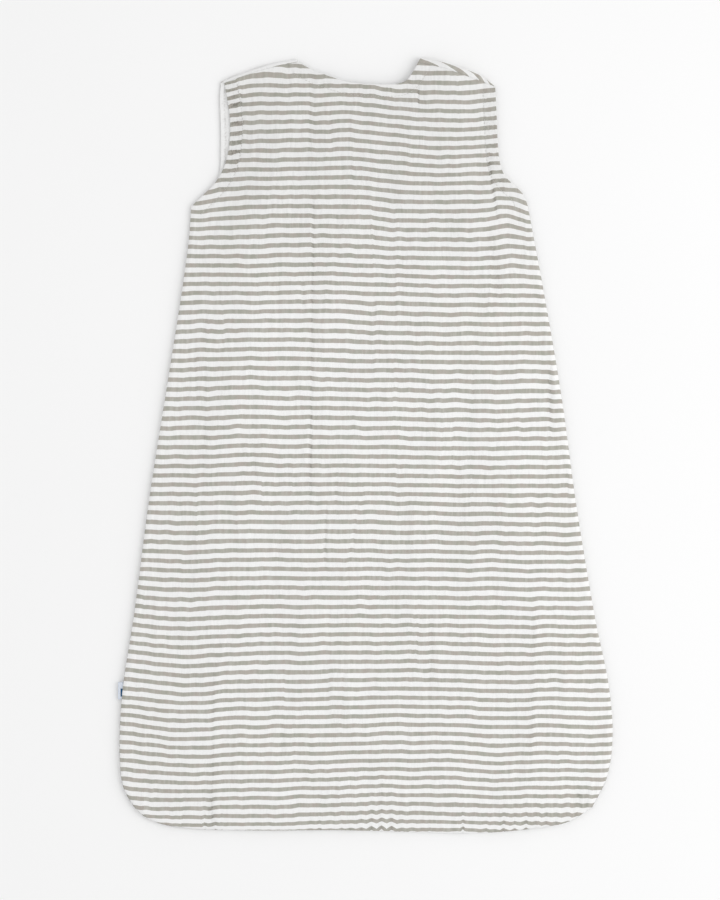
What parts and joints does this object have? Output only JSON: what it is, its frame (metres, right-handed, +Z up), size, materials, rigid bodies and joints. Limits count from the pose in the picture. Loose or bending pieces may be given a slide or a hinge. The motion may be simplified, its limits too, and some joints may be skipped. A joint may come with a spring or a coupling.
{
  "type": "baby sleeping bag",
  "caption": "Sleeveless baby sleeping bag in striped crinkled gauze, lined, lying flat back side up, with a two-way front zip.",
  "frame": {"origin": "on the surface that the bag lies on, at the middle of its outline; the zip is on X = 0", "axes": "+Y from the hem to the neck, +Z up and out of the back panel, +X to the wearer's right"},
  "size_m": [0.4965, 0.7756, 0.017],
  "materials": {
    "striped_gauze": "matte",
    "white_gauze": "matte",
    "zip_tape": "matte",
    "zip_coil": "satin",
    "slider_metal": "satin",
    "label_tape": "matte",
    "label_satin": "satin"
  },
  "bodies": {
    "bag": {"back_outer": "striped_gauze", "back_lining": "white_gauze", "front_outer_left": "striped_gauze", "front_outer_right": "striped_gauze", "front_lining_left": "white_gauze", "front_lining_right": "white_gauze", "zipper_tape_left": "zip_tape", "zipper_tape_right": "zip_tape", "zipper_teeth_left": "zip_coil", "zipper_teeth_right": "zip_coil", "zipper_top_stops": "zip_coil", "zipper_bottom_stops": "zip_coil", "zipper_underlap": "white_gauze", "chin_guard": "striped_gauze", "side_label": "label_tape", "care_label": "label_satin", "neck_label": "label_satin"},
    "slider_upper": {"slider_upper": "slider_metal"},
    "pull_upper": {"pull_upper": "slider_metal"},
    "slider_lower": {"slider_lower": "slider_metal"},
    "pull_lower": {"pull_lower": "slider_metal"}
  },
  "joints": [
    {"name": "upper_slider_run", "type": "slide", "parent": "bag", "child": "slider_upper", "axis": [0, -1, 0], "range_m": [0, 0.42]},
    {"name": "upper_pull_hinge", "type": "hinge", "parent": "slider_upper", "child": "pull_upper", "pos_m": [0, 0.315, 0.00215], "axis": [1, 0, 0], "range_deg": [0, 180]},
    {"name": "lower_slider_run", "type": "slide", "parent": "bag", "child": "slider_lower", "axis": [0, 1, 0], "range_m": [0, 0.19]},
    {"name": "lower_pull_hinge", "type": "hinge", "parent": "slider_lower", "child": "pull_lower", "pos_m": [0, -0.356, 0.00215], "axis": [-1, 0, 0], "range_deg": [0, 180]}
  ]
}
